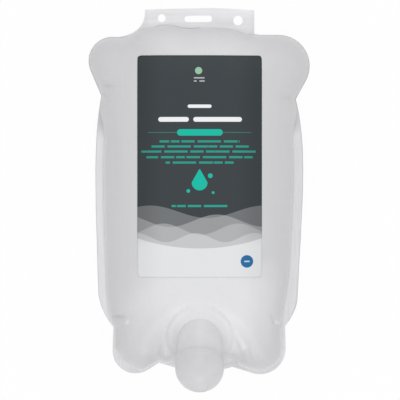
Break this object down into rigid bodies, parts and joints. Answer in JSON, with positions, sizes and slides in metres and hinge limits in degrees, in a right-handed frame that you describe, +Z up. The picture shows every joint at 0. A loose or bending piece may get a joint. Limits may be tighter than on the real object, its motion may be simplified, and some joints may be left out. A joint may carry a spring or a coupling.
{
  "type": "hand soap refill pack",
  "caption": "Filled film pouch of liquid soap with rounded corners, a punched hanging tab, a printed front label and an angled spout with a domed closure.",
  "frame": {"origin": "on the table under the middle of the pack's length and width, as it lies on its back", "axes": "+X to the right of the pack seen from its front, +Y towards the hanging tab, +Z up from the table, out of the front of the pack"},
  "size_m": [0.201, 0.3432, 0.0895],
  "materials": {
    "filled_film": "soft, milky, slightly glossy translucent film over white liquid soap",
    "moulded_spout": "smooth, milky, semi-rigid moulded plastic",
    "label_print": "satin printed film label in slate and white"
  },
  "bodies": {
    "root": {"pouch": "filled_film", "label": "label_print", "spout": "moulded_spout", "spout_closure": "moulded_spout"}
  },
  "joints": []
}
